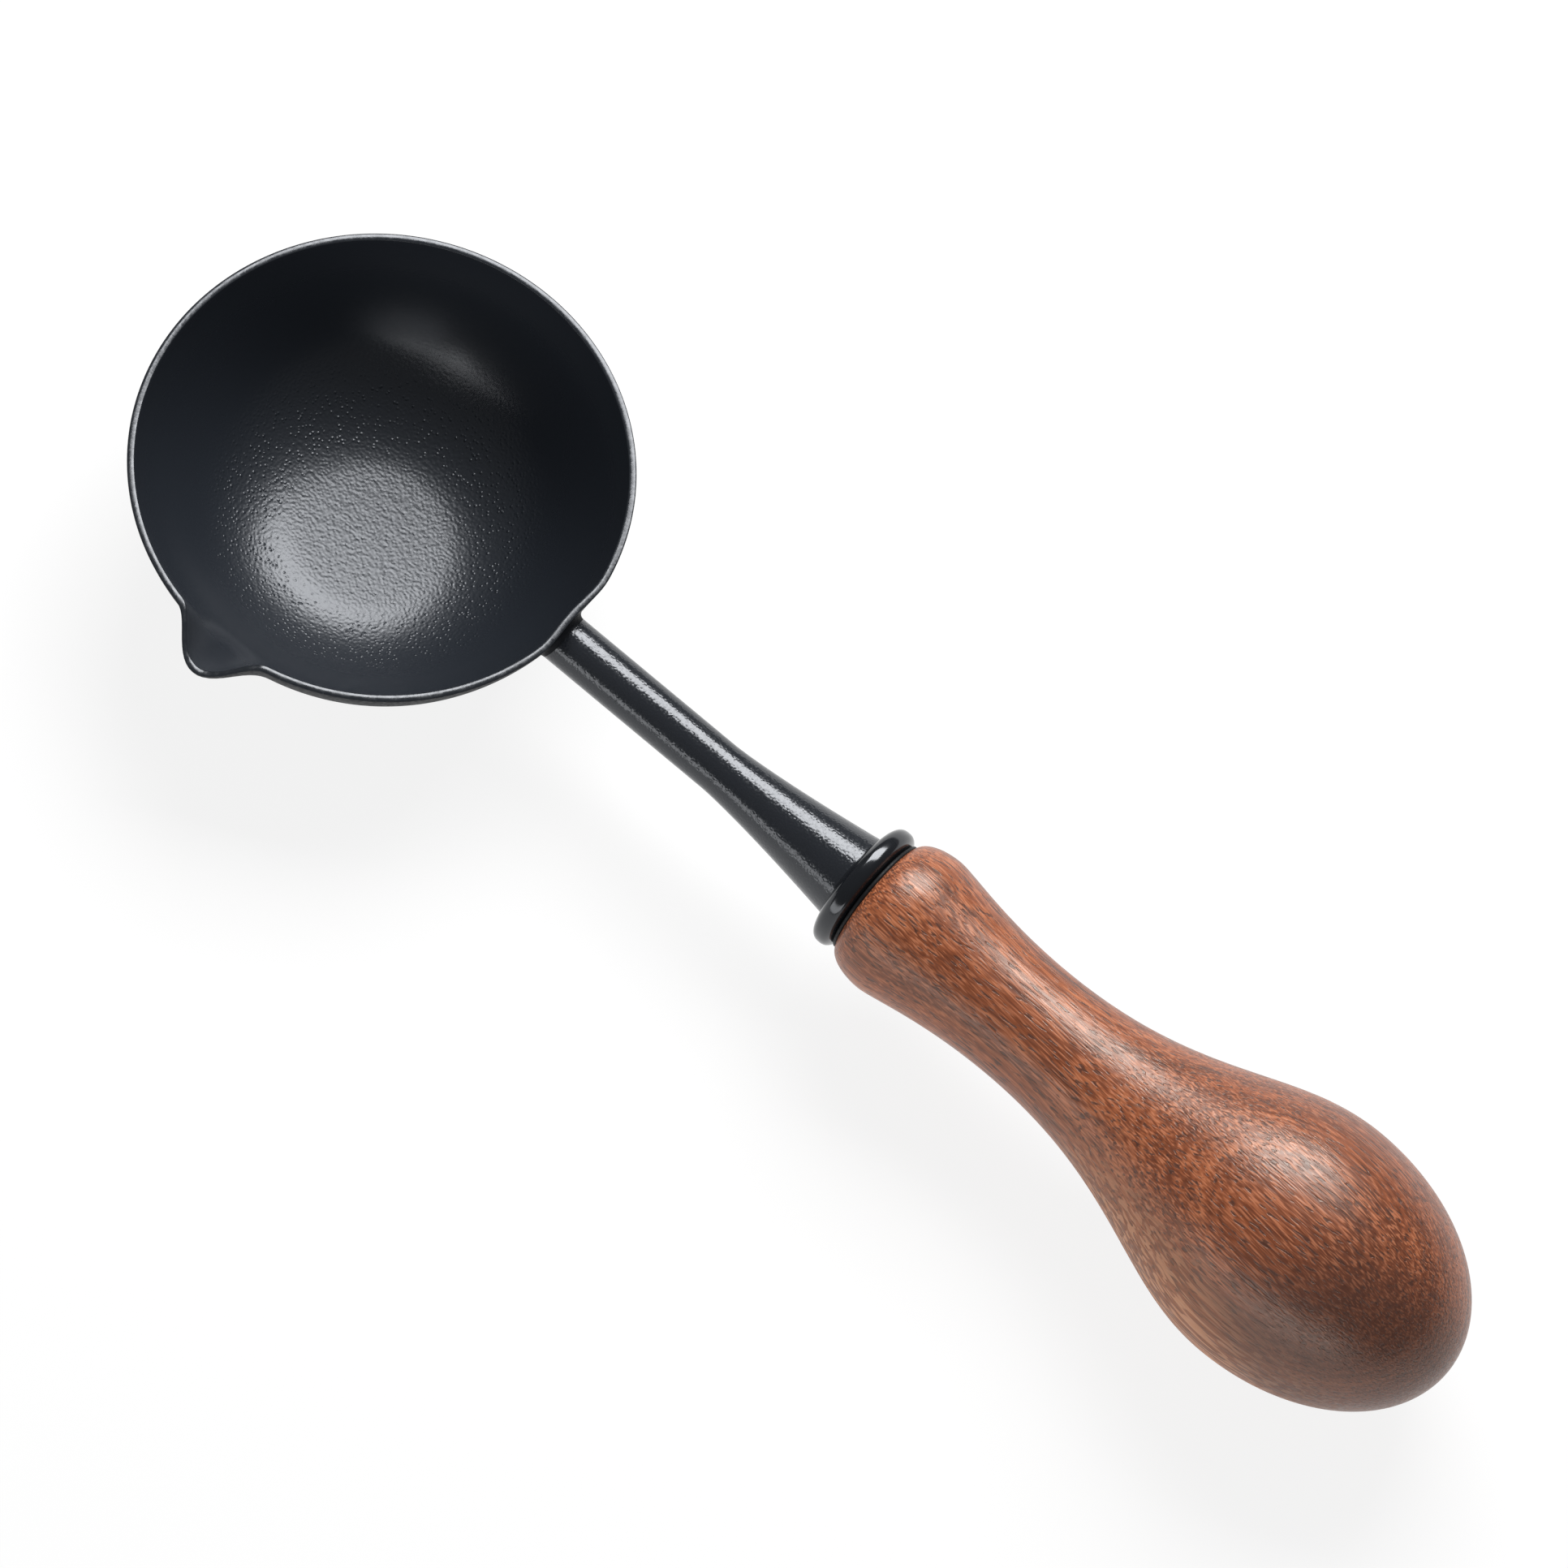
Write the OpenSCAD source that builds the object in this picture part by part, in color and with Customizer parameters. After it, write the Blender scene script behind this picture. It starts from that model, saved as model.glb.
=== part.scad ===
// Wax sealing spoon: a pressed bowl with a side spout, a flared neck and a turned wooden handle.
// The spoon lies level on the bowl's flat foot and on the bulb of its handle. X runs along the
// handle, Z is up, the spout points to -Y, and the origin is the centre of the foot.

/* [Bowl] */
// Outer radius of the bowl at its rim
bowl_r = 15.4; // [15.1:0.1:15.9]
// Height of the rim above the foot
bowl_h = 11.4; // [11.2:0.1:11.8]
// Thickness of the pressed sheet with its coat
wall = 0.45; // [0.4:0.05:0.6]
// Lean of the wall from upright at the rim, in degrees
wall_lean = 12; // [10:1:14]
// Radius of the level floor inside the bend
floor_r = 4; // [3.8:0.1:4.3]
// Outer radius of the bend between floor and wall
bend_r = 9.2; // [8.4:0.1:9.4]
// Depth that is faced off the underside to make the foot flat
foot_skim = 0.1; // [0.05:0.01:0.2]

/* [Spout] */
// Direction of the spout around the bowl, in degrees from the handle
spout_a = -89; // [-92:0.5:-86]
// How far the lip is pressed out at the tip of the spout
spout_out = 2.15; // [0.5:0.05:3]
// How far the lip sinks at the tip of the spout
spout_dip = 0.8; // [0:0.1:1.5]
// Half the width of the spout where it leaves the round rim
spout_half_w = 3.5; // [3:0.1:5]
// Depth below the rim at which the spout runs out into the wall
spout_depth = 6; // [5:0.1:9]

/* [Neck] */
// Radius of the straight part of the neck
neck_r = 1.64; // [1.4:0.02:1.9]
// Distance from the bowl's axis to the start of the flare
flare_x = 27.2; // [24:0.1:30]
// Distance from the bowl's axis to the rear face of the neck
neck_end_x = 37.7; // [36:0.1:39]
// Radius of the flare at the rear face
neck_end_r = 2.85; // [2.6:0.05:3.1]
// Shape of the flare: 1 is a straight cone, 2 opens late
flare_power = 1.36; // [1:0.01:2]
// Leg of the braze fillet at the root of the neck
fillet_leg = 0.4; // [0.3:0.05:0.8]
// How far the fillet's face is drawn in from a straight slope
fillet_sag = 0.05; // [0:0.01:0.08]

/* [Collar] */
// Length of the bead along the handle
collar_len = 1.75; // [1.2:0.05:2]
// Radius of the bead at its crown
collar_r = 4.25; // [3.9:0.05:4.6]
// Fullness of the bead: 2 is an ellipse, more gives it a flatter crown
bead_power = 2.5; // [2:0.1:3.5]
// Radius of the hollow in which the bead rises from the neck
cove_r = 0.15; // [0.1:0.05:0.5]
// Thickness of the washer that the wood seats on
washer_t = 0.25; // [0.2:0.05:0.5]
// Radius of the washer
washer_r = 3.85; // [3.5:0.05:4]

/* [Handle] */
// Radius of the handle's front face
face_r = 3.75; // [3.3:0.05:3.85]
// Radius of the rounded shoulder
shoulder_r = 4.87; // [4.6:0.01:5.2]
// Distance from the front face to the shoulder
shoulder_d = 2.5; // [2:0.1:3.5]
// Radius of the waist
waist_r = 3.9; // [3.7:0.05:4.2]
// Distance from the shoulder to the waist
waist_d = 9.2; // [8:0.1:11]
// Radius of the bulb, which is also the height of the handle's axis
bulb_r = 8.4; // [8:0.1:8.8]
// Distance from the waist to the bulb
bulb_d = 20.6; // [18:0.1:23]
// Length of the rounded end behind the bulb
end_d = 12.1; // [10:0.1:14]
// Share of the way to the waist along which the outline keeps the shoulder's direction
shoulder_pull = 0.12; // [0.05:0.01:0.5]
// Share of the way from the shoulder along which the outline keeps the waist's direction
waist_pull = 0.55; // [0.3:0.01:0.7]
// Share of the way to the bulb along which the outline keeps the waist's direction
neck_pull = 0.52; // [0.3:0.01:0.6]
// Share of the way from the waist along which the outline keeps the bulb's direction
bulb_pull = 0.31; // [0.2:0.01:0.5]

/* [Stud] */
// Radius of the stud, which stands for an M3 thread
stud_r = 1.5; // [1.25:0.25:1.5]
// Depth of the stud in the neck, measured from the end of the spigot
stud_in_neck = 8; // [6:0.5:8]
// Depth of the stud in the handle, measured from the end of the spigot
stud_in_handle = 13; // [9:0.5:16]
// Radius of the spigot that centres collar, washer and handle
spigot_r = 2.2; // [2.1:0.05:2.4]
// Depth of the spigot in the handle
spigot_in_handle = 1.5; // [1:0.1:2]

/* [Hidden] */
$fn = 240;

coat_black = [0.12, 0.13, 0.15];
gloss_black = [0.06, 0.06, 0.07];
filler_black = [0.16, 0.17, 0.19];
steel_grey = [0.62, 0.63, 0.65];
wood_brown = [0.56, 0.32, 0.2];

// Places along the handle
axis_z = bulb_r;
washer_x = neck_end_x + collar_len;
handle_x = washer_x + washer_t;
spigot_end_x = handle_x + spigot_in_handle;
shoulder_x = handle_x + shoulder_d;
waist_x = shoulder_x + waist_d;
bulb_x = waist_x + bulb_d;

// Middle surface of the bowl's sheet: a level floor, a bend and a wall arc that meet in tangents.
// A point of an arc is found from the slope of the sheet there, from 0 on the floor to rim_slope.
half = wall / 2;
rim_slope = 90 - wall_lean;
rim_mid = [bowl_r - half, bowl_h - half];
bend_mid_r = bend_r - half;
bend_c = [floor_r, bend_r - foot_skim];
rise = rim_mid - bend_c;
wall_mid_r = (rise * rise - bend_mid_r * bend_mid_r)
    / (2 * (rise[0] * sin(rim_slope) - rise[1] * cos(rim_slope) - bend_mid_r));
wall_c = rim_mid - wall_mid_r * down_normal(rim_slope);
bend_slope = atan2(bend_c[0] - wall_c[0], wall_c[1] - bend_c[1]);

// How far a cutting shape runs past the face that it opens
over = 1;

// Steps used to draw the curves
bend_steps = 6;
wall_steps = 7;
lip_steps = 4;
flare_steps = 14;
cove_steps = 6;
bead_steps = 16;
curve_steps = 16;
fillet_steps = 4;
fillet_turns = 36;

// Directions around the bowl's axis, closer together across the spout
spout_span = 16;
spout_turns = 20;
round_turns = 72;
around = concat(
    [for (i = [0:spout_turns]) spout_a + spout_span * (2 * i / spout_turns - 1)],
    [for (i = [1:round_turns - 1]) spout_a + spout_span + (360 - 2 * spout_span) * i / round_turns]
);

function down_normal(slope) = [sin(slope), -cos(slope)];

function up_tangent(slope) = [cos(slope), sin(slope)];

// One face of the sheet from the floor to the rim, at a distance from the middle surface
function sheet_face(offset) = concat(
    [for (i = [0:bend_steps]) bend_c + (bend_mid_r + offset) * down_normal(bend_slope * i / bend_steps)],
    [for (i = [1:wall_steps]) wall_c + (wall_mid_r + offset)
        * down_normal(bend_slope + (rim_slope - bend_slope) * i / wall_steps)]
);

// The rounded edge of the sheet, from its outer face over the top to its inner face
function lip() = [
    for (i = [1:lip_steps - 1]) let (turn = 180 * i / lip_steps)
        rim_mid + half * (cos(turn) * down_normal(rim_slope) + sin(turn) * up_tangent(rim_slope))
];

function backwards(list) = [for (i = [len(list) - 1:-1:0]) list[i]];

// Share of the spout's full press at a direction around the bowl: a smooth hump with a round tip
function press_around(a) = let (along = bowl_r * PI / 180 * abs(a - spout_a))
    along < spout_half_w ? (1 + cos(180 * along / spout_half_w)) / 2 : 0;

// Share of the spout's full press at a height: all of it at the rim, none at the spout's root
function press_up(z) = (1 + cos(180 * min(1, max(0, (bowl_h - z) / spout_depth)))) / 2;

// A section point turned to a direction around the bowl and pressed out where the spout is
function pressed(p, a) = let (press = press_around(a) * press_up(p[1]), r = p[0] + spout_out * press)
    [r * cos(a), r * sin(a), p[1] - spout_dip * press];

// Triangles of a skin over sections that are set in a ring, from one point of a section to the next
function skin(rings, points, spans) = [
    for (i = [0:rings - 1], j = [0:spans - 1])
        let (a = i * points, b = (i + 1) % rings * points, k = (j + 1) % points)
        each [[a + j, a + k, b + k], [a + j, b + k, b + j]]
];

// Outer radius of the bowl at a height on its wall
function bowl_r_at(z) = wall_c[0] + sqrt(pow(wall_mid_r + half, 2) - pow(wall_c[1] - z, 2));

// Distance from the bowl's axis to its wall, at a place beside the neck's axis
function wall_x(q, turn) = let (y = q * sin(turn), z = axis_z + q * cos(turn))
    sqrt(pow(bowl_r_at(z), 2) - y * y);

function bezier(a, b, c, d, t) =
    pow(1 - t, 3) * a + 3 * t * pow(1 - t, 2) * b + 3 * t * t * (1 - t) * c + pow(t, 3) * d;

// A smooth stretch of a turned outline between two places where it runs level with the axis
function level_curve(from, to, from_pull, to_pull) = let (way = [0, to[1] - from[1]]) [
    for (i = [1:curve_steps])
        bezier(from, from + from_pull * way, to - to_pull * way, to, i / curve_steps)
];

// Sets a shape that was made along Z on the axis of neck and handle
module along_handle() {
    translate([0, 0, axis_z]) rotate([0, 90, 0]) children();
}

// The space that the bowl takes up with its hollow filled, without the spout
module bowl_envelope() {
    rotate_extrude() polygon(concat([[0, -foot_skim]], sheet_face(half), [[0, rim_mid[1]]]));
}

// Pressed bowl: one sheet from the foot up the wall, over the lip and down to the floor
module bowl() {
    section = concat(sheet_face(half), lip(), backwards(sheet_face(-half)));
    rings = len(around);
    points = len(section);
    foot = [for (i = [0:rings - 1]) i * points];
    floor = [for (i = [rings - 1:-1:0]) i * points + points - 1];
    color(coat_black) difference() {
        polyhedron(
            [for (a = around, p = section) pressed(p, a)],
            concat(skin(rings, points, points - 1), [foot, floor])
        );
        translate([0, 0, -bend_r]) cylinder(r = floor_r + bend_r, h = bend_r);
    }
}

// Filler metal around the root of the neck, hollow-faced, seated on the bowl's wall and the neck.
// The flats of the ring touch the round neck, so its corners lie on a slightly larger circle.
module braze_fillet() {
    seat_q = neck_r / cos(180 / fillet_turns);
    outer_q = neck_r + fillet_leg;
    section = concat(
        [for (i = [0:fillet_steps]) let (t = i / fillet_steps, sag = fillet_sag * sin(180 * t))
            [fillet_leg * t - sag, outer_q + (seat_q - outer_q) * t - sag]],
        [[0, seat_q]]
    );
    points = len(section);
    color(filler_black) polyhedron(
        [for (i = [0:fillet_turns - 1], p = section) let (turn = 360 * i / fillet_turns)
            [wall_x(p[1], turn) + p[0], -p[1] * sin(turn), axis_z + p[1] * cos(turn)]],
        skin(fillet_turns, points, points)
    );
}

// Turned neck: coped to the bowl in front, flared behind, with a tapped spigot for the stud
module neck() {
    blank_x = bowl_r - 3 * neck_r;
    color(coat_black) difference() {
        along_handle() rotate_extrude() polygon(concat(
            [[0, blank_x], [neck_r, blank_x]],
            [for (i = [0:flare_steps]) let (t = i / flare_steps)
                [neck_r + (neck_end_r - neck_r) * pow(t, flare_power), flare_x + (neck_end_x - flare_x) * t]],
            [[spigot_r, neck_end_x], [spigot_r, spigot_end_x], [0, spigot_end_x]]
        ));
        bowl_envelope();
        along_handle() translate([0, 0, spigot_end_x - stud_in_neck])
            cylinder(r = stud_r, h = stud_in_neck + over);
    }
}

// A sine or cosine that is drawn out, so that the curve made of both is fuller than an ellipse
function fuller(value) = sign(value) * pow(abs(value), 2 / bead_power);

// Round bead that covers the joint between neck and handle, with a hollow at its foot in front
module collar() {
    bead_half = (collar_len - cove_r) / 2;
    bead_foot_r = neck_end_r + cove_r;
    bead_rise = collar_r - bead_foot_r;
    color(gloss_black) along_handle() rotate_extrude() polygon(concat(
        [[spigot_r, neck_end_x]],
        [for (i = [0:cove_steps - 1]) let (turn = 90 * i / cove_steps)
            [bead_foot_r - cove_r * cos(turn), neck_end_x + cove_r * sin(turn)]],
        [for (i = [0:bead_steps]) let (turn = 180 * i / bead_steps)
            [bead_foot_r + bead_rise * fuller(sin(turn)), washer_x - bead_half * (1 + fuller(cos(turn)))]],
        [[spigot_r, washer_x]]
    ));
}

// Thin washer that the wood is drawn up against
module seat_washer() {
    color(filler_black) along_handle() translate([0, 0, washer_x]) difference() {
        cylinder(r = washer_r, h = washer_t);
        translate([0, 0, -over]) cylinder(r = spigot_r, h = washer_t + 2 * over);
    }
}

// Stud that is screwed into the neck and bonded into the handle, with chamfered ends
module stud() {
    chamfer = 0.4;
    from_x = spigot_end_x - stud_in_neck;
    to_x = spigot_end_x + stud_in_handle;
    color(steel_grey) along_handle() rotate_extrude() polygon([
        [0, from_x],
        [stud_r - chamfer, from_x],
        [stud_r, from_x + chamfer],
        [stud_r, to_x - chamfer],
        [stud_r - chamfer, to_x],
        [0, to_x]
    ]);
}

// Turned handle, drilled for the stud and counterbored for the spigot
module handle() {
    drill_point = 1;
    front = [for (i = [0:curve_steps]) let (turn = 90 * i / curve_steps)
        [face_r + (shoulder_r - face_r) * sin(turn), shoulder_x - shoulder_d * cos(turn)]];
    bulb_end = [for (i = [1:curve_steps]) let (turn = 90 * i / curve_steps)
        [bulb_r * cos(turn), bulb_x + end_d * sin(turn)]];
    shoulder = [shoulder_r, shoulder_x];
    waist = [waist_r, waist_x];
    bulb = [bulb_r, bulb_x];
    color(wood_brown) along_handle() difference() {
        rotate_extrude() polygon(concat(
            [[0, handle_x]],
            front,
            level_curve(shoulder, waist, shoulder_pull, waist_pull),
            level_curve(waist, bulb, neck_pull, bulb_pull),
            bulb_end
        ));
        translate([0, 0, handle_x - over]) cylinder(r = spigot_r, h = spigot_in_handle + over);
        translate([0, 0, handle_x]) cylinder(r = stud_r, h = spigot_in_handle + stud_in_handle);
        translate([0, 0, spigot_end_x + stud_in_handle]) cylinder(r1 = stud_r, r2 = 0, h = drill_point);
    }
}

bowl();
braze_fillet();
neck();
collar();
seat_washer();
stud();
handle();
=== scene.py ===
# Wax sealing spoon. It lies level on the flat foot of its bowl and on the bulb of its handle.
# The pieces follow in the order in which the spoon is put together, from the bowl to the handle.

import math

import bmesh
import bpy
from mathutils import Matrix, Vector


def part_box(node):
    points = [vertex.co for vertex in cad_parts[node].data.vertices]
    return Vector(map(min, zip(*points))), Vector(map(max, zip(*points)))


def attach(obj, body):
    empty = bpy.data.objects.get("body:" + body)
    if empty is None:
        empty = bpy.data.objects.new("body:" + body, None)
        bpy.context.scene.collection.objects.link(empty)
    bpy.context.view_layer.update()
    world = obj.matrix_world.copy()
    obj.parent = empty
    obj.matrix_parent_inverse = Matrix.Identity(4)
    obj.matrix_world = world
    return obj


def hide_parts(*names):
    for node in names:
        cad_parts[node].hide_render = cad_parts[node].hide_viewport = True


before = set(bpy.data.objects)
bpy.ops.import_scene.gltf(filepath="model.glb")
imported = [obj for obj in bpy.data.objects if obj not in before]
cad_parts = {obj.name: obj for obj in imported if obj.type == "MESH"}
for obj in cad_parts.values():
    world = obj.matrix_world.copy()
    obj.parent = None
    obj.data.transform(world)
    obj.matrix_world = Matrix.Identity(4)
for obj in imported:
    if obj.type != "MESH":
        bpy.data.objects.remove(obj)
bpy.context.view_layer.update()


# Bowl
# A small round melting bowl, pressed from thin steel sheet, with a rounded lip and one pour
# spout pressed out of it. It is coated black: grainy non-stick inside, duller paint outside,
# and a thin glossy coat on the trimmed edge of the lip.
mm = 0.001
_, bowl_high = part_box("bowl")
bowl_r = bowl_high.y
rim_z = bowl_high.z
sheet = 0.45 * mm
half_sheet = sheet / 2
lip_rise = 0.06 * mm
rim_slope = math.radians(78)
floor_r = 4.0 * mm
dish_slope = math.radians(2.4)
bend_r = 9.2 * mm
foot_skim = 0.1 * mm
spout_turn = math.radians(-89)
spout_out = 2.15 * mm
spout_dip = 0.8 * mm
spout_half_w = 3.5 * mm
spout_depth = 6.0 * mm
dent_turn = math.radians(1.5)
dent_in = 0.36 * mm
dent_half_w = 3.4 * mm
dent_depth = 3.5 * mm
foot_steps, bend_steps, wall_steps, lip_steps, dish_steps = 4, 16, 26, 16, 8
bowl_turns = 360
bowl_crease = 60
weld_gap = 0.001 * mm


def spread(start, end, steps):
    """Evenly spaced values from start to end, both included."""
    return [start + (end - start) * i / steps for i in range(steps + 1)]


def normal_at(slope):
    """The outward direction of a pressed sheet's section where it rises at that slope."""
    return Vector((math.sin(slope), -math.cos(slope)))


def arc(centre, radius, slopes):
    """Points of a section's round stretch, one for each slope."""
    return [centre + radius * normal_at(slope) for slope in slopes]


def turned(outline, centre, axis, out, turns):
    """A mesh turned from an outline of (distance from the axis, place along the axis)."""
    shape = bmesh.new()
    points = [shape.verts.new(centre + out * r + axis * along) for r, along in outline]
    edges = [shape.edges.new(pair) for pair in zip(points, points[1:])]
    bmesh.ops.spin(
        shape,
        geom=points + edges,
        cent=centre,
        axis=axis,
        angle=math.tau,
        steps=turns,
        use_merge=True,
    )
    bmesh.ops.remove_doubles(shape, verts=shape.verts, dist=weld_gap)
    bmesh.ops.recalc_face_normals(shape, faces=shape.faces)
    return shape


# Middle of the sheet: a level foot, a bend and a wall arc that meet in tangents
rim_mid = Vector((bowl_r - half_sheet, rim_z - lip_rise))
bend_mid_r = bend_r - half_sheet
bend_centre = Vector((floor_r, bend_r - foot_skim))
rise = rim_mid - bend_centre
beyond_bend = rise.dot(normal_at(rim_slope)) - bend_mid_r
wall_mid_r = (rise.length_squared - bend_mid_r**2) / (2 * beyond_bend)
wall_centre = rim_mid - wall_mid_r * normal_at(rim_slope)
bend_slope = math.atan2(bend_centre.x - wall_centre.x, wall_centre.y - bend_centre.y)


def sheet_face(offset, floor_slope):
    """One face of the sheet from the floor to the rim, at a distance from its middle."""
    bend = arc(bend_centre, bend_mid_r + offset, spread(floor_slope, bend_slope, bend_steps))
    wall = arc(wall_centre, wall_mid_r + offset, spread(bend_slope, rim_slope, wall_steps))
    return bend + wall[1:]


# The foot is faced off flat outside, and the floor is dished a little inside
outside = [Vector((p.x, max(p.y, 0))) for p in sheet_face(half_sheet, 0)]
inside = [Vector((p.x, min(p.y, rim_mid.y))) for p in sheet_face(-half_sheet, dish_slope)]
lip = [
    rim_mid + Vector((half_sheet * math.cos(t), lip_rise * math.sin(t)))
    for t in spread(0, math.pi, lip_steps)
]
dish_r = inside[0].x / math.sin(dish_slope)
dish_centre = inside[0] - dish_r * normal_at(dish_slope)
dish = arc(dish_centre, dish_r, spread(dish_slope, 0, dish_steps))
section = (
    [(r, 0) for r in spread(0, outside[0].x, foot_steps)]
    + [tuple(p) for p in outside[1:] + lip]
    + [tuple(p) for p in reversed(inside[:-1])]
    + [(max(p.x, 0), p.y) for p in dish[1:]]
)
up = Vector((0, 0, 1))
bowl_shape = turned(section, Vector((0, 0, 0)), up, Vector((0, 1, 0)), bowl_turns)

# The faces inside keep the first coat, those outside get the second and the lip gets the third
outside_slot, lip_slot = 1, 2
lip_from_z = rim_mid.y + lip_rise / 4
for face in bowl_shape.faces:
    spot = face.calc_center_median()
    outward = Vector((spot.x, spot.y, 0)).normalized()
    faces_out = face.normal.dot(outward) > 0.1
    faces_down = face.normal.z < -0.5
    if spot.z > lip_from_z:
        face.material_index = lip_slot
    elif faces_out or faces_down:
        face.material_index = outside_slot


def hump(share):
    """A smooth rise: full in the middle, at 0, and none at 1 and beyond."""
    return (1 + math.cos(math.pi * min(1, abs(share)))) / 2


def pressed_share(turn, z, press_turn, half_w, depth):
    """How much of a press at the rim reaches a place on the wall."""
    away = math.remainder(turn - press_turn, math.tau) * bowl_r
    return hump(away / half_w) * hump((rim_z - z) / depth)


# The spout is pressed out and down at the rim, and the neck's joint has dented the rim a little
for point in bowl_shape.verts:
    flat = Vector((point.co.x, point.co.y))
    if flat.length < floor_r:
        continue
    turn = math.atan2(flat.y, flat.x)
    press = pressed_share(turn, point.co.z, spout_turn, spout_half_w, spout_depth)
    dent = pressed_share(turn, point.co.z, dent_turn, dent_half_w, dent_depth)
    flat *= 1 + (spout_out * press - dent_in * dent) / flat.length
    point.co = (flat.x, flat.y, point.co.z - spout_dip * press)

inside_black = (0.0172, 0.0205, 0.0264)
outside_black = (0.0115, 0.0130, 0.0158)
lip_black = (0.0140, 0.0165, 0.0205)
cool_sheen = (0.93, 0.955, 1.0)
wall_rough = 0.2
floor_rough = 0.33
rim_duller = 1.5
spout_duller = 1.6
grain_size = 0.2 * mm
grain_depth = 0.022 * mm
grain_on_wall = 0.08
grit_size = 0.27 * mm
grit_depth = 0.04 * mm
grit_share = 0.95
grit_reach = 0.45
grit_on_floor = 0.2
cloud_range = (0.3, 0.7)
# The heights over which the grain fades, the grit starts and ends and the rim turns duller, and
# how far out to its side the spout does
grain_fades = (1.0 * mm, 5.0 * mm)
grit_starts = (0.4 * mm, 0.8 * mm)
grit_ends = (2.2 * mm, 3.6 * mm)
rim_dulls = (7.5 * mm, 9.5 * mm)
spout_dulls = (-14.6 * mm, -13.0 * mm)


def new_finish(name, colour, rough, shine, sheen=(1, 1, 1)):
    """A plain material, and its node tree and shader for the detail that it gets."""
    finish = bpy.data.materials.new(name)
    finish.use_nodes = True
    shader = finish.node_tree.nodes["Principled BSDF"]
    shader.inputs["Base Color"].default_value = (*colour, 1)
    shader.inputs["Roughness"].default_value = rough
    shader.inputs["Specular IOR Level"].default_value = shine
    shader.inputs["Specular Tint"].default_value = (*sheen, 1)
    return finish, finish.node_tree, shader


def fitted(tree, size, stretch=(1, 1, 1), tilt=(0, 0, 0), centre=(0, 0, 0)):
    """The place on the piece, measured in that size times the stretch along turned axes."""
    place = tree.nodes.new("ShaderNodeTexCoord")
    measure = tree.nodes.new("ShaderNodeMapping")
    measure.vector_type = "TEXTURE"
    measure.inputs["Location"].default_value = centre
    measure.inputs["Rotation"].default_value = tilt
    measure.inputs["Scale"].default_value = [size * s for s in stretch]
    tree.links.new(place.outputs["Object"], measure.inputs["Vector"])
    return measure.outputs["Vector"]


def cloudy(tree, place, detail=0.0, swirl=0.0):
    """A soft cloudy pattern around one half, with patches about as large as the place's unit."""
    cloud = tree.nodes.new("ShaderNodeTexNoise")
    cloud.inputs["Scale"].default_value = 1
    cloud.inputs["Detail"].default_value = detail
    cloud.inputs["Distortion"].default_value = swirl
    tree.links.new(place, cloud.inputs["Vector"])
    return cloud.outputs["Fac"]


def graded(tree, pattern, low, high, start=0.0, end=1.0):
    """A pattern's values from low to high, spread smoothly from start to end and held beyond."""
    grade = tree.nodes.new("ShaderNodeMapRange")
    grade.interpolation_type = "SMOOTHSTEP"
    grade.inputs["From Min"].default_value = low
    grade.inputs["From Max"].default_value = high
    grade.inputs["To Min"].default_value = start
    grade.inputs["To Max"].default_value = end
    tree.links.new(pattern, grade.inputs["Value"])
    return grade.outputs["Result"]


def product(tree, first, second):
    """One pattern times another."""
    times = tree.nodes.new("ShaderNodeMath")
    times.operation = "MULTIPLY"
    tree.links.new(first, times.inputs[0])
    tree.links.new(second, times.inputs[1])
    return times.outputs["Value"]


def specks(tree, place, share, reach):
    """Scattered round specks, on that share of the cells, each fading out at that distance."""
    cells = tree.nodes.new("ShaderNodeTexVoronoi")
    cells.inputs["Scale"].default_value = 1
    chance = tree.nodes.new("ShaderNodeSeparateColor")
    tree.links.new(place, cells.inputs["Vector"])
    tree.links.new(cells.outputs["Color"], chance.inputs["Color"])
    chosen = graded(tree, chance.outputs["Red"], 1 - share, 1 - share / 2)
    return product(tree, chosen, graded(tree, cells.outputs["Distance"], 0, reach, 1, 0))


def raised(tree, height, depth, under=None):
    """A relief of that depth from a pattern, on top of another relief if one is given."""
    relief = tree.nodes.new("ShaderNodeBump")
    relief.inputs["Distance"].default_value = depth
    tree.links.new(height, relief.inputs["Height"])
    if under:
        tree.links.new(under, relief.inputs["Normal"])
    return relief.outputs["Normal"]


def grained(tree, shader, pattern, smoothest, roughest, depth):
    """Gives a finish a roughness between two values, and a relief, that follow a pattern."""
    rough = graded(tree, pattern, *cloud_range, smoothest, roughest)
    tree.links.new(rough, shader.inputs["Roughness"])
    tree.links.new(raised(tree, pattern, depth), shader.inputs["Normal"])


# Inside, the coat is grainy on the floor, gritty around it, and smooth on the wall. It is duller
# at the rim and in the spout.
coat_inside, tree, shader = new_finish(
    "nonstick_inside", inside_black, rough=0.28, shine=0.6, sheen=cool_sheen
)
place = tree.nodes.new("ShaderNodeTexCoord")
where = tree.nodes.new("ShaderNodeSeparateXYZ")
tree.links.new(place.outputs["Object"], where.inputs["Vector"])
height = where.outputs["Z"]
settled = graded(tree, height, *grain_fades, 1, grain_on_wall)
grain = product(tree, cloudy(tree, fitted(tree, grain_size)), settled)
off_floor = graded(tree, height, *grit_starts, grit_on_floor, 1)
under_wall = graded(tree, height, *grit_ends, 1, 0)
around_floor = product(tree, settled, product(tree, off_floor, under_wall))
grit = specks(tree, fitted(tree, grit_size), grit_share, grit_reach)
grit = product(tree, grit, around_floor)
near_rim = graded(tree, height, *rim_dulls, 1, rim_duller)
in_spout = graded(tree, where.outputs["Y"], *spout_dulls, spout_duller, 1)
rough = graded(tree, settled, 0, 1, wall_rough, floor_rough)
rough = product(tree, rough, product(tree, near_rim, in_spout))
tree.links.new(rough, shader.inputs["Roughness"])
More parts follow.
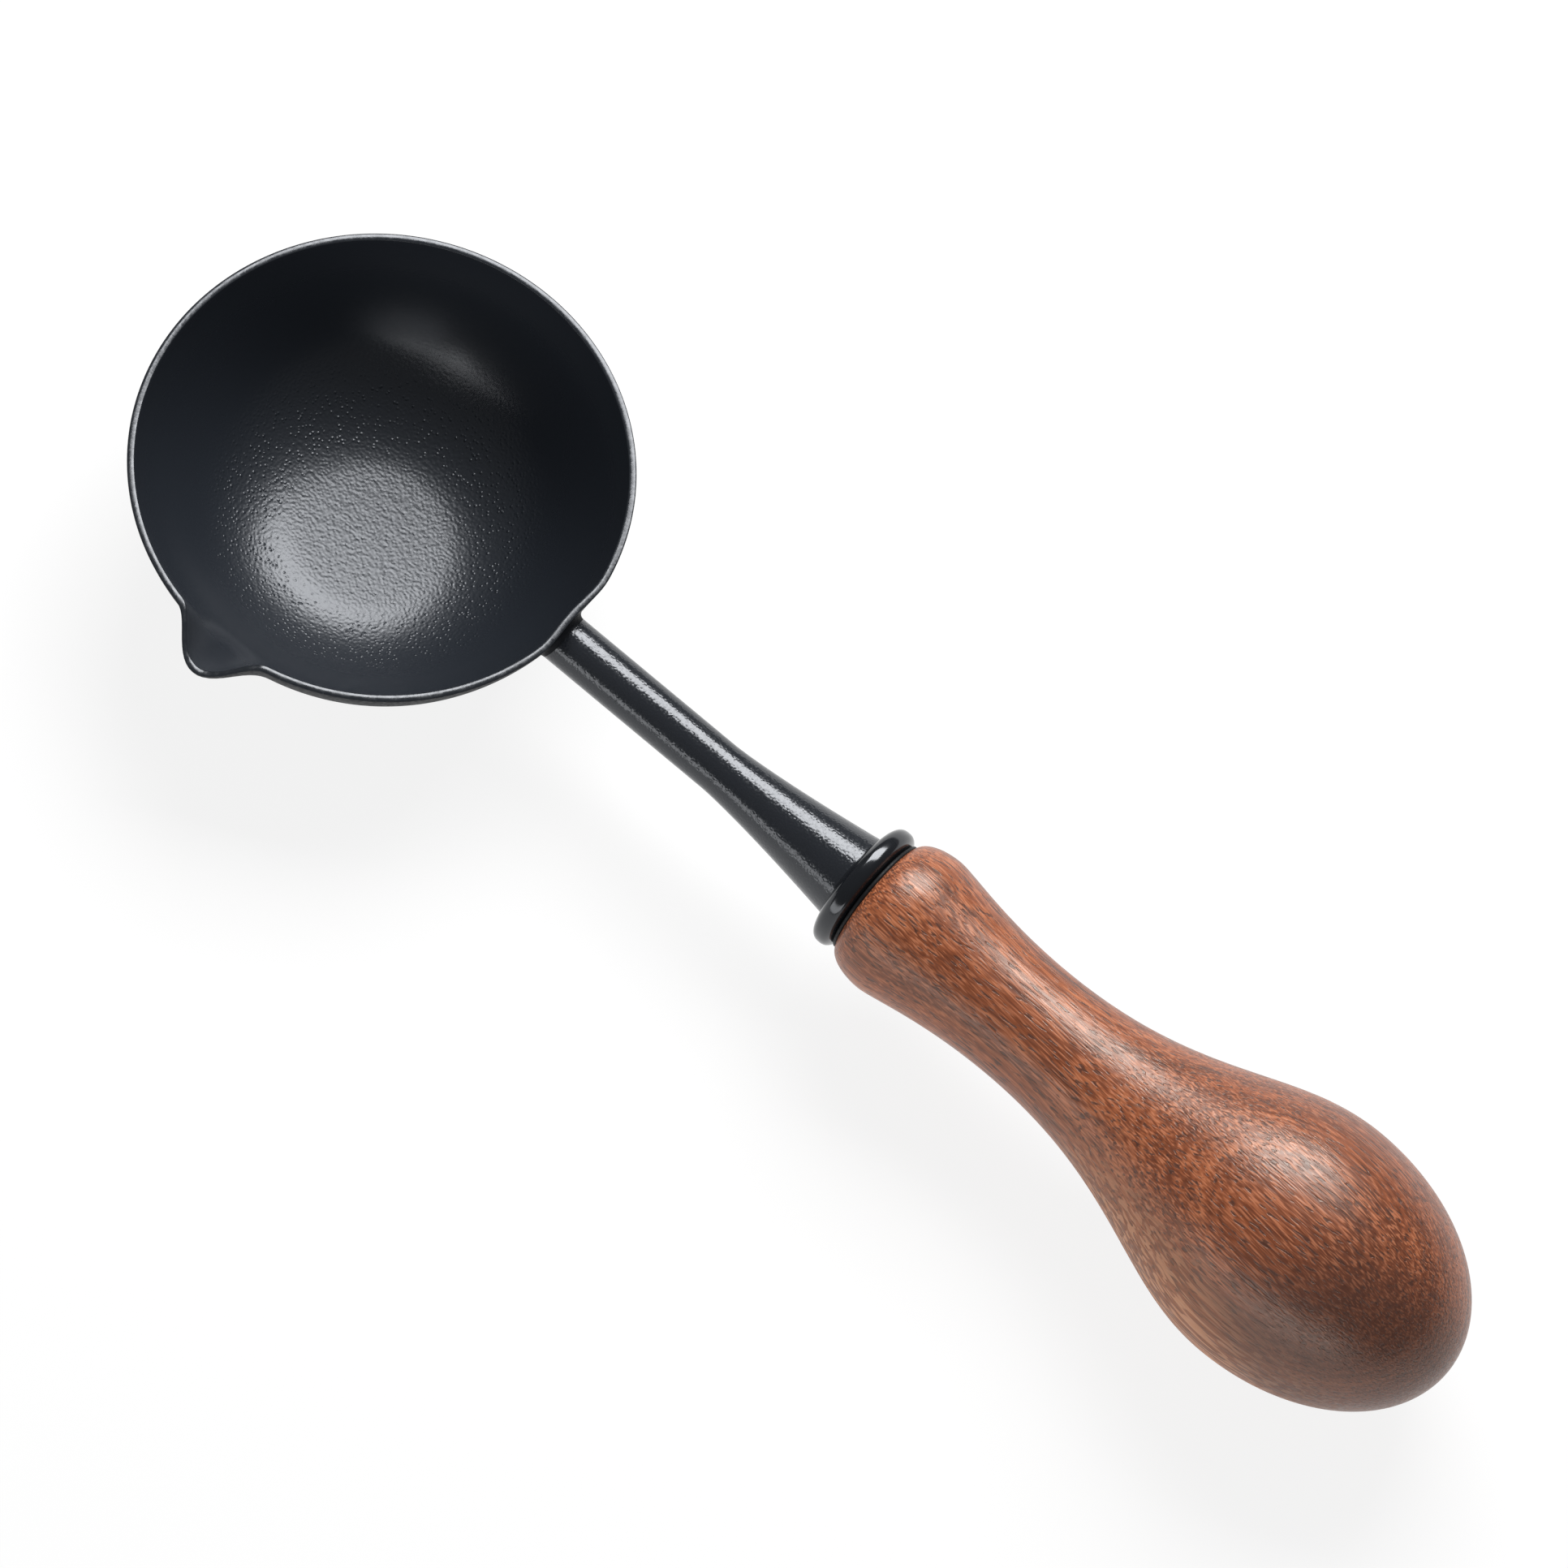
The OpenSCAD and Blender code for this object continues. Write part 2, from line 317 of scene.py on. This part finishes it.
relief = raised(tree, grain, grain_depth)
tree.links.new(raised(tree, grit, grit_depth, relief), shader.inputs["Normal"])

coat_outside, tree, shader = new_finish("paint_outside", outside_black, rough=0.5, shine=0.06)
peel = cloudy(tree, fitted(tree, 0.22 * mm))
grained(tree, shader, peel, smoothest=0.44, roughest=0.56, depth=0.02 * mm)

coat_lip, tree, shader = new_finish(
    "lip_coat", lip_black, rough=0.2, shine=0.62, sheen=cool_sheen
)
worn = cloudy(tree, fitted(tree, 0.35 * mm), detail=1)
grained(tree, shader, worn, smoothest=0.16, roughest=0.28, depth=0.006 * mm)


def made(name, shape, finishes, crease):
    """A piece from its shaped mesh, smooth but for edges that turn more than the crease angle."""
    mesh = bpy.data.meshes.new(name)
    shape.to_mesh(mesh)
    shape.free()
    for finish in finishes:
        mesh.materials.append(finish)
    mesh.shade_smooth()
    mesh.set_sharp_from_angle(angle=math.radians(crease))
    piece = bpy.data.objects.new(name, mesh)
    bpy.context.scene.collection.objects.link(piece)
    return piece


bowl = made("pressed_bowl", bowl_shape, [coat_inside, coat_outside, coat_lip], bowl_crease)
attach(bowl, "root")
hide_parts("bowl")


# Braze ring
# Filler metal that joins the neck to the bowl's wall: a small hollow-faced ring around the
# neck's root, coated black with the bowl.
handle_low, handle_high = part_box("handle")
axis_z = (handle_low.z + handle_high.z) / 2
handle_axis = Vector((0, 0, axis_z))
along = Vector((1, 0, 0))
neck_r = 1.64 * mm
ring_leg = 0.4 * mm
ring_sunk = 0.2 * mm
ring_in_r = neck_r - ring_sunk
ring_out_r = neck_r + ring_leg
hollow_steps = 10
ring_turns = 96
ring_crease = 50


def wall_x(y, z):
    """How far along the neck's axis the bowl's outer wall is, at a place beside that axis."""
    wall_out = math.sqrt((wall_mid_r + half_sheet) ** 2 - (wall_centre.y - z) ** 2)
    x = math.sqrt((wall_centre.x + wall_out) ** 2 - y**2)
    return x - dent_in * pressed_share(math.atan2(y, x), z, dent_turn, dent_half_w, dent_depth)


hollow = [
    (ring_out_r - ring_leg * math.sin(t), ring_leg * (1 - math.cos(t)))
    for t in spread(0, math.pi / 2, hollow_steps)
]
ring_section = (
    [(ring_out_r, -ring_sunk)]
    + hollow
    + [(ring_in_r, ring_leg), (ring_in_r, -ring_sunk), (ring_out_r, -ring_sunk)]
)
ring_shape = turned(ring_section, handle_axis, along, up, ring_turns)
for point in ring_shape.verts:
    point.co.x += wall_x(point.co.y, point.co.z)
ring = made("braze_ring", ring_shape, [coat_outside], ring_crease)
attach(ring, "root")
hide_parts("braze_fillet")


# Neck
# A slim steel stem, turned straight at the bowl and flared like a trumpet towards the handle,
# coped and brazed to the bowl in front, with a tapped spigot behind. Satin black coat.
_, neck_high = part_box("neck")
collar_low, collar_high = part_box("collar")
stud_low, stud_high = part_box("stud")
neck_end_x = collar_low.x
neck_end_r = neck_high.z - axis_z
spigot_end_x = neck_high.x
spigot_r = 2.2 * mm
stud_r = stud_high.z - axis_z
flare_x = 27.2 * mm
flare_power = 1.36
root_x = bowl_r - 3 * neck_r
straight_steps, flare_steps = 40, 30
neck_turns = 128
neck_crease = 50
neck_black = (0.0150, 0.0172, 0.0215)

straight = [(neck_r, x) for x in spread(root_x, flare_x, straight_steps)]
flare = [
    (neck_r + (neck_end_r - neck_r) * t**flare_power, flare_x + (neck_end_x - flare_x) * t)
    for t in spread(0, 1, flare_steps)[1:]
]
neck_section = (
    [(0, root_x)]
    + straight
    + flare
    + [(spigot_r, neck_end_x), (spigot_r, spigot_end_x), (stud_r, spigot_end_x)]
    + [(stud_r, stud_low.x), (0, stud_low.x)]
)
neck_shape = turned(neck_section, handle_axis, along, up, neck_turns)

# The root is cut off along the bowl's wall, half a sheet deep in it
cope_x = wall_x(0, axis_z) - half_sheet
wall_leans = wall_x(0, axis_z + neck_r) - wall_x(0, axis_z - neck_r)
cope_lean = math.atan2(wall_leans, 2 * neck_r)
bmesh.ops.bisect_plane(
    neck_shape,
    geom=neck_shape.verts[:] + neck_shape.edges[:] + neck_shape.faces[:],
    plane_co=(cope_x, 0, axis_z),
    plane_no=(math.cos(cope_lean), 0, -math.sin(cope_lean)),
    clear_inner=True,
)
bmesh.ops.holes_fill(neck_shape, edges=neck_shape.edges)

coat_neck, tree, shader = new_finish(
    "neck_coat", neck_black, rough=0.22, shine=0.62, sheen=cool_sheen
)
peel = cloudy(tree, fitted(tree, 0.14 * mm))
grained(tree, shader, peel, smoothest=0.15, roughest=0.24, depth=0.014 * mm)
neck = made("turned_neck", neck_shape, [coat_neck], neck_crease)
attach(neck, "root")
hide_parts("neck")


# Collar
# A round bead that covers the joint between neck and handle, turned from steel and coated
# gloss black. It slides over the neck's spigot and is clamped by the handle.
cove_r = 0.15 * mm
bead_power = 2.5
bead_foot_r = neck_end_r + cove_r
bead_rise = collar_high.z - axis_z - bead_foot_r
bead_half = (collar_high.x - collar_low.x - cove_r) / 2
bead_mid_x = collar_high.x - bead_half
cove_steps, bead_steps = 10, 60
collar_turns = 128
collar_crease = 50
bead_black = (0.0075, 0.0087, 0.0110)


def fuller(value):
    """A sine or cosine drawn out, so that the curve made of both is fuller than an ellipse."""
    return math.copysign(abs(value) ** (2 / bead_power), value)


cove = [
    (bead_foot_r - cove_r * math.cos(t), collar_low.x + cove_r * math.sin(t))
    for t in spread(0, math.pi / 2, cove_steps)
]
bead = [
    (bead_foot_r + bead_rise * fuller(math.sin(t)), bead_mid_x - bead_half * fuller(math.cos(t)))
    for t in spread(0, math.pi, bead_steps)
]
bead_section = (
    [(spigot_r, collar_low.x)]
    + cove
    + bead[1:]
    + [(spigot_r, collar_high.x), (spigot_r, collar_low.x)]
)
bead_shape = turned(bead_section, handle_axis, along, up, collar_turns)
coat_gloss, tree, shader = new_finish(
    "gloss_coat", bead_black, rough=0.1, shine=0.65, sheen=cool_sheen
)
waves = cloudy(tree, fitted(tree, 0.9 * mm), detail=1)
grained(tree, shader, waves, smoothest=0.10, roughest=0.18, depth=0.008 * mm)
collar = made("gloss_collar", bead_shape, [coat_gloss], collar_crease)
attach(collar, "root")
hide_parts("collar")


# Seat washer
# A thin steel washer between the collar and the wood, blanked from sheet with its edges
# broken, and coated a dull black.
washer_low, washer_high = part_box("seat_washer")
washer_r = washer_high.z - axis_z
broken = 0.06 * mm
washer_turns = 128
washer_crease = 60
washer_black = (0.0060, 0.0065, 0.0075)

washer_section = [
    (spigot_r, washer_low.x),
    (washer_r - broken, washer_low.x),
    (washer_r, washer_low.x + broken),
    (washer_r, washer_high.x - broken),
    (washer_r - broken, washer_high.x),
    (spigot_r, washer_high.x),
    (spigot_r, washer_low.x),
]
washer_shape = turned(washer_section, handle_axis, along, up, washer_turns)
coat_dull, tree, shader = new_finish("dull_coat", washer_black, rough=0.55, shine=0.25)
peel = cloudy(tree, fitted(tree, 0.15 * mm))
grained(tree, shader, peel, smoothest=0.48, roughest=0.62, depth=0.008 * mm)
washer = made("thin_washer", washer_shape, [coat_dull], washer_crease)
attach(washer, "root")
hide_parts("seat_washer")


# Stud
# A zinc-plated steel stud that is screwed into the neck and bonded into the handle. It is
# hidden inside, so the solid keeps its shape and only gets its finish.
zinc_grey = (0.55, 0.56, 0.58)

plated, tree, shader = new_finish("zinc_plated_steel", zinc_grey, rough=0.35, shine=0.5)
shader.inputs["Metallic"].default_value = 1
rolled = cloudy(tree, fitted(tree, 0.5 * mm, stretch=(0.2, 2, 2)), detail=2)
grained(tree, shader, rolled, smoothest=0.28, roughest=0.42, depth=0.05 * mm)
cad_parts["stud"].data.materials.clear()
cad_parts["stud"].data.materials.append(plated)


# Handle
# The grip, turned from one piece of reddish brown hardwood: a rounded shoulder, a waist and
# a bulb, sanded and satin varnished. It is drilled for the stud and counterbored for the spigot.
handle_x = handle_low.x
bulb_r = handle_high.z - axis_z
face_r = 3.75 * mm
shoulder = Vector((4.87 * mm, handle_x + 2.5 * mm))
waist = Vector((3.9 * mm, shoulder.y + 9.2 * mm))
bulb = Vector((bulb_r, waist.y + 20.6 * mm))
face_rise = shoulder.x - face_r
face_len = shoulder.y - handle_x
end_len = handle_high.x - bulb.y
shoulder_pull = 0.12
waist_pull = 0.55
neck_pull = 0.52
bulb_pull = 0.31
drill_point = 1.0 * mm
front_steps, grip_steps, swell_steps, end_steps = 20, 30, 50, 40
handle_turns = 192
handle_crease = 60


def level_curve(start, end, start_pull, end_pull, steps):
    """A smooth stretch of the outline between two places where it runs level with the axis."""
    way = Vector((0, end.y - start.y))
    a, b, c, d = start, start + start_pull * way, end - end_pull * way, end
    return [
        (1 - t) ** 3 * a + 3 * t * (1 - t) ** 2 * b + 3 * t * t * (1 - t) * c + t**3 * d
        for t in spread(0, 1, steps)
    ]


front = [
    Vector((face_r + face_rise * math.sin(t), shoulder.y - face_len * math.cos(t)))
    for t in spread(0, math.pi / 2, front_steps)
]
grip = level_curve(shoulder, waist, shoulder_pull, waist_pull, grip_steps)
swell = level_curve(waist, bulb, neck_pull, bulb_pull, swell_steps)
end = [
    Vector((bulb_r * math.cos(t), bulb.y + end_len * math.sin(t)))
    for t in spread(0, math.pi / 2, end_steps)
]
handle_section = (
    [(0, stud_high.x + drill_point), (stud_r, stud_high.x), (stud_r, spigot_end_x)]
    + [(spigot_r, spigot_end_x), (spigot_r, handle_x)]
    + [tuple(p) for p in front + grip[1:] + swell[1:] + end[1:]]
)
handle_shape = turned(handle_section, handle_axis, along, up, handle_turns)

wood_brown = (0.29, 0.083, 0.032)
wood_tones = [
    (0.20, (0.140, 0.039, 0.016)),
    (0.40, (0.226, 0.063, 0.024)),
    (0.55, (0.292, 0.083, 0.032)),
    (0.80, (0.422, 0.137, 0.056)),
]
dark_fleck = (0.130, 0.035, 0.016)
light_fleck = (0.560, 0.205, 0.100)
vein_brown = (0.070, 0.028, 0.021)
pore_brown = (0.065, 0.026, 0.018)
sap_tan = (0.285, 0.118, 0.052)
pale_tan = (0.560, 0.262, 0.138)
# Painted shade: the brown of a dark patch on the bulb's lower end, where the soft box's light
# falls away
painted_shade_brown = (0.079, 0.035, 0.026)
warm_sheen = (1.0, 0.91, 0.83)
layer_turn = math.radians(15)
fibre_depth = 0.03 * mm
pore_depth = 0.012 * mm
varnish_rough = (0.30, 0.42)
open_duller = 1.4
# How strongly each mark colours the wood, and the values of its pattern over which it comes up
fleck_share, dark_range, light_range = 0.72, (0.3, 0.5), (0.54, 0.70)
vein_share, vein_range = 0.6, (0.63, 0.76)
pore_share, pore_range = 0.8, (0.62, 0.72)
pale_share, pale_range = 0.95, (0.5, 0.6)
sap_share = 0.4
painted_shade_share = 0.66
calm_share, lively_range = 0.5, (0.3, 0.6)
flat_range = (0.62, 0.92)
# The paler side of the wood, and the painted shade on the bulb's lower end where the soft box's
# light
# falls away: a place in each, how far each reaches from there, and the share of that reach over
# which it is even
sap_at = Vector((67, -8, 6.5)) * mm
sap_reach = Vector((21, 6.5, 9)) * mm
painted_shade_at = Vector((81, -5.5, 12)) * mm
painted_shade_reach = Vector((13.5, 10.5, 10)) * mm
even_share = 0.35


def weighed(tree, parts):
    """Several patterns added up by their weights, even around one half."""
    total = None
    for pattern, weight in parts:
        step = tree.nodes.new("ShaderNodeMath")
        step.operation = "MULTIPLY_ADD"
        tree.links.new(pattern, step.inputs[0])
        step.inputs[1].default_value = weight
        if total:
            tree.links.new(total, step.inputs[2])
        else:
            step.inputs[2].default_value = 0.5 - sum(share for _, share in parts) / 2
        total = step.outputs["Value"]
    return total


def toned(tree, pattern, tones):
    """Colours for a pattern's values, from a list of (value, colour)."""
    ramp = tree.nodes.new("ShaderNodeValToRGB")
    for value, _ in tones[1:-1]:
        ramp.color_ramp.elements.new(value)
    for stop, (value, colour) in zip(ramp.color_ramp.elements, tones):
        stop.position = value
        stop.color = (*colour, 1)
    tree.links.new(pattern, ramp.inputs["Fac"])
    return ramp.outputs["Color"]


def stained(tree, colour, share, stain):
    """A colour that turns to a stain by a pattern's share."""
    mix = tree.nodes.new("ShaderNodeMixRGB")
    tree.links.new(share, mix.inputs["Fac"])
    tree.links.new(colour, mix.inputs["Color1"])
    mix.inputs["Color2"].default_value = (*stain, 1)
    return mix.outputs["Color"]


def nearness(tree, centre, reach):
    """One around a place in the piece, fading out to nothing at a reach along each axis."""
    distance = tree.nodes.new("ShaderNodeVectorMath")
    distance.operation = "LENGTH"
    tree.links.new(fitted(tree, 1, reach, (0, 0, 0), centre), distance.inputs["Vector"])
    return graded(tree, distance.outputs["Value"], even_share, 1, 1, 0)


def flatness(tree, turn):
    """One where the wood's layers lie flat on the turned surface, and none beside those faces."""
    around = tree.nodes.new("ShaderNodeVectorMath")
    around.operation = "NORMALIZE"
    across = tree.nodes.new("ShaderNodeSeparateXYZ")
    level_with = tree.nodes.new("ShaderNodeMath")
    level_with.operation = "ABSOLUTE"
    only_across = (1000, 1, 1)
    beside_axis = fitted(tree, mm, only_across, (turn, 0, 0), handle_axis)
    tree.links.new(beside_axis, around.inputs["Vector"])
    tree.links.new(around.outputs["Vector"], across.inputs["Vector"])
    tree.links.new(across.outputs["Z"], level_with.inputs["Value"])
    return graded(tree, level_with.outputs["Value"], *flat_range)


def grain_of(tree, stretch, tilt, detail=0.0, swirl=0.0):
    """A pattern of the wood with patches that are so many millimetres long, wide and deep."""
    return cloudy(tree, fitted(tree, mm, stretch, tilt, handle_axis), detail, swirl)


wood, tree, shader = new_finish(
    "varnished_wood", wood_brown, rough=0.36, shine=0.66, sheen=warm_sheen
)
beds = grain_of(tree, (46, 10, 2.2), (layer_turn, 0.03, -0.03), detail=1, swirl=0.3)
layers = grain_of(tree, (40, 16, 0.26), (layer_turn, 0.02, -0.03), detail=1, swirl=0.2)
streaks = grain_of(tree, (14, 0.7, 0.7), (0, 0.02, 0.03), detail=1)
fibres = grain_of(tree, (3.4, 0.17, 0.17), (0, 0.02, 0.05), detail=1)
flecks = grain_of(tree, (1.5, 0.09, 0.14), (layer_turn, -0.03, -0.10), swirl=0.12)
lively = grain_of(tree, (9, 2.5, 2.5), (0, 0, 0))
pores = grain_of(tree, (0.9, 0.14, 0.14), (0, 0, 0.04))
veins = grain_of(tree, (7, 0.5, 0.5), (0, 0.01, 0.02), detail=1)
pale_fibres = grain_of(tree, (5, 0.22, 0.26), (0, 0.05, -0.06), swirl=0.4)
sapwood = nearness(tree, sap_at, sap_reach)
# Painted shade: a dark patch on the bulb's lower end, where the soft box's light falls away
painted_shade = nearness(tree, painted_shade_at, painted_shade_reach)

# Layers and fibres give the ground colour, and the flecks show most where the layers lie flat
tone = weighed(tree, [(beds, 0.9), (layers, 1.1), (streaks, 0.6), (fibres, 0.6)])
colour = toned(tree, tone, wood_tones)
lively_patches = graded(tree, lively, *lively_range, calm_share, 1)
flat_layers = product(tree, flatness(tree, layer_turn), lively_patches)
shown_flecks = graded(tree, flat_layers, 0, 1, calm_share, 1)
dark_flecks = product(tree, graded(tree, flecks, *dark_range, fleck_share, 0), shown_flecks)
light_flecks = product(tree, graded(tree, flecks, *light_range, 0, fleck_share), shown_flecks)
pale_lines = product(tree, graded(tree, pale_fibres, *pale_range, 0, pale_share), sapwood)
for share, stain in (
    (dark_flecks, dark_fleck),
    (light_flecks, light_fleck),
    (graded(tree, veins, *vein_range, 0, vein_share), vein_brown),
    (graded(tree, pores, *pore_range, 0, pore_share), pore_brown),
    (graded(tree, sapwood, 0, 1, 0, sap_share), sap_tan),
    (pale_lines, pale_tan),
    # painted shade on the bulb's lower end, where the soft box's light falls away
    (graded(tree, painted_shade, 0, 1, 0, painted_shade_share), painted_shade_brown),
):
    colour = stained(tree, colour, share, stain)
tree.links.new(colour, shader.inputs["Base Color"])

# The varnish is duller over the open paler side, and the pores stay as pits in it
fibre_rough = graded(tree, fibres, *cloud_range, *varnish_rough)
open_wood = graded(tree, sapwood, 0, 1, 1, open_duller)
tree.links.new(product(tree, fibre_rough, open_wood), shader.inputs["Roughness"])
relief = raised(tree, weighed(tree, [(fibres, 0.6), (flecks, 0.4)]), fibre_depth)
pits = graded(tree, pores, *pore_range, 1, 0)
tree.links.new(raised(tree, pits, pore_depth, relief), shader.inputs["Normal"])
handle = made("turned_handle", handle_shape, [wood], handle_crease)
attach(handle, "root")
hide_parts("handle")


# Floor
# A plain white studio table. It shows white to the eye and in reflections, keeps a light
# shadow of the spoon, and reflects light as plain matt white board does.
table_r = 2.5
table_gap = 0.02 * mm
table_turns = 64
table_crease = 60
board_white = 0.8
shadow_share = 0.14
glow_share = 0.86

floor_shape = bmesh.new()
bmesh.ops.create_circle(floor_shape, cap_ends=True, segments=table_turns, radius=table_r)
bmesh.ops.translate(floor_shape, verts=floor_shape.verts, vec=(0, 0, -table_gap))
board = bpy.data.materials.new("white_board")
board.use_nodes = True
tree = board.node_tree
tree.nodes.clear()
shown = tree.nodes.new("ShaderNodeLightPath")
in_mirror = tree.nodes.new("ShaderNodeMath")
in_mirror.operation = "MAXIMUM"
in_sight = tree.nodes.new("ShaderNodeMath")
in_sight.operation = "MAXIMUM"
tree.links.new(shown.outputs["Is Glossy Ray"], in_mirror.inputs[0])
tree.links.new(shown.outputs["Is Transmission Ray"], in_mirror.inputs[1])
tree.links.new(shown.outputs["Is Camera Ray"], in_sight.inputs[0])
tree.links.new(in_mirror.outputs["Value"], in_sight.inputs[1])
matt = tree.nodes.new("ShaderNodeBsdfDiffuse")
matt.inputs["Color"].default_value = (board_white, board_white, board_white, 1)
shaded = tree.nodes.new("ShaderNodeBsdfDiffuse")
shaded.inputs["Color"].default_value = (shadow_share, shadow_share, shadow_share, 1)
white = tree.nodes.new("ShaderNodeEmission")
white.inputs["Strength"].default_value = glow_share
pale = tree.nodes.new("ShaderNodeAddShader")
tree.links.new(shaded.outputs["BSDF"], pale.inputs[0])
tree.links.new(white.outputs["Emission"], pale.inputs[1])
choice = tree.nodes.new("ShaderNodeMixShader")
tree.links.new(in_sight.outputs["Value"], choice.inputs["Fac"])
tree.links.new(matt.outputs["BSDF"], choice.inputs[1])
tree.links.new(pale.outputs["Shader"], choice.inputs[2])
output = tree.nodes.new("ShaderNodeOutputMaterial")
tree.links.new(choice.outputs["Shader"], output.inputs["Surface"])
floor = made("studio_floor", floor_shape, [board], table_crease)


# Light
# A soft box near the spoon, on its far side and towards the bowl, a low white card on the side
# of the spout, and a dim even room around them.
middle = Vector((30.5, 2.5, 6.7)) * mm
room_level = 0.14


def lit_panel(name, way, far, wide, tall, radiance):
    """A soft rectangular light that faces the middle of the spoon, as bright as its radiance."""
    lamp = bpy.data.lights.new(name, "AREA")
    lamp.shape = "RECTANGLE"
    lamp.size = wide
    lamp.size_y = tall
    lamp.energy = radiance * math.pi * wide * tall
    panel = bpy.data.objects.new(name, lamp)
    bpy.context.scene.collection.objects.link(panel)
    way = Vector(way).normalized()
    across = up.cross(way).normalized()
    facing = Matrix((across, way.cross(across), way)).transposed()
    panel.matrix_world = Matrix.Translation(middle + far * way) @ facing.to_4x4()
    panel.visible_camera = False


lit_panel("soft_box", way=(-0.26, 0.584, 0.769), far=0.3, wide=0.22, tall=0.16, radiance=12.5)
lit_panel("white_card", way=(0.1, -0.976, 0.19), far=0.6, wide=1.0, tall=0.17, radiance=3.0)
room = bpy.data.worlds.new("studio_room")
room.use_nodes = True
room.node_tree.nodes["Background"].inputs["Color"].default_value = (1, 1, 1, 1)
room.node_tree.nodes["Background"].inputs["Strength"].default_value = room_level
bpy.context.scene.world = room
bpy.context.scene.view_settings.view_transform = "Standard"


# Camera
# A long lens, looking down on the spoon from the spout's side, turned a little on its own axis.
view_turn = math.radians(26.65)
view_height = math.radians(67.67)
view_roll = math.radians(14.79)
view_far = 0.6
view_point = Vector((30.47 * mm, 2.45 * mm, rim_z - 4.72 * mm))
film_w = 36
focal_length = 228.35
nearest = 0.01

back = Vector(
    (
        math.sin(view_turn) * math.cos(view_height),
        -math.cos(view_turn) * math.cos(view_height),
        math.sin(view_height),
    )
)
level = Vector((math.cos(view_turn), math.sin(view_turn), 0))
upright = back.cross(level)
right = math.cos(view_roll) * level + math.sin(view_roll) * upright
facing = Matrix((right, back.cross(right), back)).transposed()
lens = bpy.data.cameras.new("camera")
lens.sensor_width = film_w
lens.lens = focal_length
lens.clip_start = nearest
camera = bpy.data.objects.new("camera", lens)
bpy.context.scene.collection.objects.link(camera)
camera.matrix_world = Matrix.Translation(view_point + view_far * back) @ facing.to_4x4()
bpy.context.scene.camera = camera
